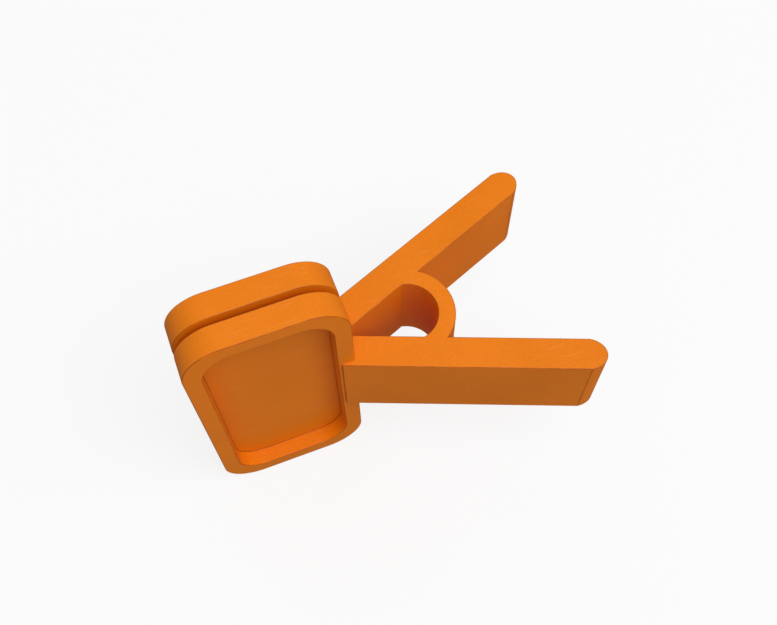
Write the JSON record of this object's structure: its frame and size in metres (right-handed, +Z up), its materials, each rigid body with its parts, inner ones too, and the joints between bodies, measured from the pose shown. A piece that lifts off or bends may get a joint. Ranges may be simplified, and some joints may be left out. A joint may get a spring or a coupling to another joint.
{
  "type": "spring clamp",
  "caption": "Moulded plastic spring clamp: flat rounded jaws with recessed outer faces, splayed handle arms and a C-shaped spring bow between the arms.",
  "frame": {"origin": "under the middle of the clamp's bounding box, on the plane that the jaws' lower edges stand on", "axes": "+X along the clamp, from the jaws' free ends to the handle tips; +Y the squeeze direction, from the front lever to the rear lever; +Z up, along the jaws' height and the squeeze axis"},
  "size_m": [0.0616, 0.0388, 0.05],
  "materials": {
    "orange_plastic": "satin"
  },
  "bodies": {
    "front_lever": {"front_arm": "orange_plastic", "front_jaw": "orange_plastic", "spring_bow": "orange_plastic"},
    "rear_lever": {"rear_arm": "orange_plastic", "rear_jaw": "orange_plastic"}
  },
  "joints": [
    {"name": "jaw_opening", "type": "hinge", "parent": "front_lever", "child": "rear_lever", "pos_m": [0.00964, 0, 0.025], "axis": [0, 0, -1], "range_deg": [-1, 15], "stiffness_Nm_per_rad": 3.94, "deforming": ["spring_bow"]}
  ]
}
